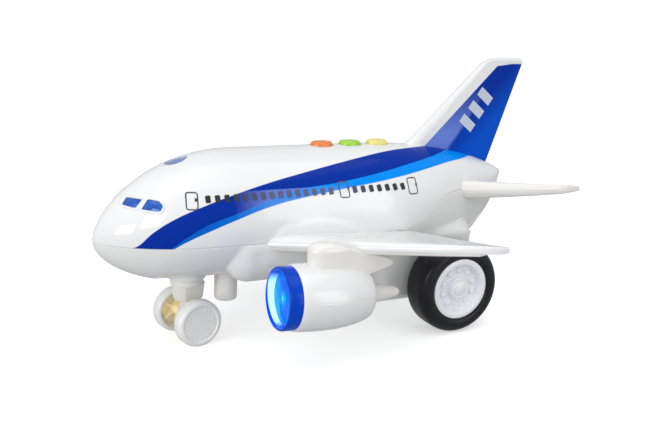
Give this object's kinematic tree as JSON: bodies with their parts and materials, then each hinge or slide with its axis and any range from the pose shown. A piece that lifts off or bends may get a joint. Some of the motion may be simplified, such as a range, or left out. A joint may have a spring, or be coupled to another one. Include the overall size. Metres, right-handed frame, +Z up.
{
  "type": "toy airliner",
  "caption": "Chunky toy airliner with friction-driven rear wheels, turning nose gear, underwing engines with clear lit intakes and roof buttons for sound.",
  "frame": {"origin": "on the floor under the middle of the overall length, in the plane of symmetry", "axes": "+X towards the nose, +Y towards the left wing tip, +Z up"},
  "size_m": [0.238, 0.2, 0.1386],
  "materials": {
    "white_gloss": "gloss, white",
    "white_shade": "gloss, white lower shell",
    "cream": "gloss, warm white",
    "fin_blue": "gloss, blue film on white",
    "clear_blue": "clear tinted plastic",
    "lens_blue": "tinted plastic",
    "tyre_black": "satin rubber",
    "hub_white": "satin white",
    "steel": "turned",
    "gear_nylon": "natural nylon",
    "motor_black": "moulded",
    "board_green": "circuit board",
    "dark": "moulded",
    "cell": "plain jacket",
    "nickel": "nickel plate",
    "led_clear": "clear epoxy",
    "button_orange": "gloss",
    "button_green": "gloss",
    "button_yellow": "gloss"
  },
  "bodies": {
    "airframe": {"upper_shell": "white_gloss", "lower_shell": "white_shade", "tail_fin": "fin_blue", "tailplane_left": "cream", "tailplane_right": "cream", "wing_left_upper": "cream", "wing_right_upper": "cream", "wing_left_lower": "cream", "wing_right_lower": "cream", "motor_case_left": "motor_black", "motor_case_right": "motor_black", "battery_box": "dark", "battery_cells": "cell", "battery_contacts": "nickel", "circuit_board": "board_green", "board_screws": "steel", "switches": "dark", "loudspeaker": "dark", "roof_lens": "lens_blue", "nose_lamp": "led_clear", "cockpit_glazing": "clear_blue", "shell_screws": "steel", "wing_screws": "steel", "nacelle_left_upper": "white_gloss", "nacelle_left_lower": "white_gloss", "engine_intake_left": "clear_blue", "engine_lamp_left": "led_clear", "engine_cone_left": "cream", "nacelle_right_upper": "white_gloss", "nacelle_right_lower": "white_gloss", "engine_intake_right": "clear_blue", "engine_lamp_right": "led_clear", "engine_cone_right": "cream"},
    "nose_gear": {"nose_leg": "cream", "swivel_washer": "steel", "swivel_screw": "steel"},
    "nose_wheels": {"nose_axle": "steel", "nose_wheel_left": "cream", "nose_wheel_right": "cream"},
    "rear_wheels": {"rear_axle": "steel", "rear_tyre_left": "tyre_black", "rear_tyre_right": "tyre_black", "rear_hub_left": "hub_white", "rear_hub_right": "hub_white", "axle_gear": "gear_nylon"},
    "idler": {"idler_gear": "gear_nylon"},
    "flywheel": {"flywheel_shaft": "steel", "flywheel": "steel"},
    "button_front": {"button_front": "button_orange"},
    "button_middle": {"button_middle": "button_green"},
    "button_rear": {"button_rear": "button_yellow"},
    "battery_door": {"battery_door": "white_shade"}
  },
  "joints": [
    {"name": "nose_gear_swivel", "type": "hinge", "parent": "airframe", "child": "nose_gear", "pos_m": [0.075, 0, 0.029], "axis": [0, 0, 1], "range_deg": [-40, 20]},
    {"name": "nose_wheel_spin", "type": "hinge", "parent": "nose_gear", "child": "nose_wheels", "pos_m": [0.075, 0, 0.0115], "axis": [-0.1736, 0.9848, 0], "continuous": true},
    {"name": "rear_wheel_spin", "type": "hinge", "parent": "airframe", "child": "rear_wheels", "pos_m": [-0.056, 0, 0.0237], "axis": [0, 1, 0], "continuous": true},
    {"name": "idler_spin", "type": "hinge", "parent": "airframe", "child": "idler", "pos_m": [-0.04647, 0, 0.02815], "axis": [0, 1, 0], "continuous": true},
    {"name": "flywheel_spin", "type": "hinge", "parent": "airframe", "child": "flywheel", "pos_m": [-0.03785, 0, 0.03418], "axis": [0, 1, 0], "continuous": true},
    {"name": "button_front_press", "type": "slide", "parent": "airframe", "child": "button_front", "axis": [0, 0, -1], "range_m": [0, 0.001], "stiffness_N_per_m": 250},
    {"name": "button_middle_press", "type": "slide", "parent": "airframe", "child": "button_middle", "axis": [0, 0, -1], "range_m": [0, 0.001], "stiffness_N_per_m": 250},
    {"name": "button_rear_press", "type": "slide", "parent": "airframe", "child": "button_rear", "axis": [0, 0, -1], "range_m": [0, 0.001], "stiffness_N_per_m": 250},
    {"name": "battery_door_lift", "type": "slide", "parent": "airframe", "child": "battery_door", "axis": [0, 0, -1], "range_m": [0, 0.02]}
  ],
  "couplings": [
    {"joint": "idler_spin", "follows": "rear_wheel_spin", "ratio": -1.8889},
    {"joint": "flywheel_spin", "follows": "rear_wheel_spin", "ratio": 4.25}
  ]
}
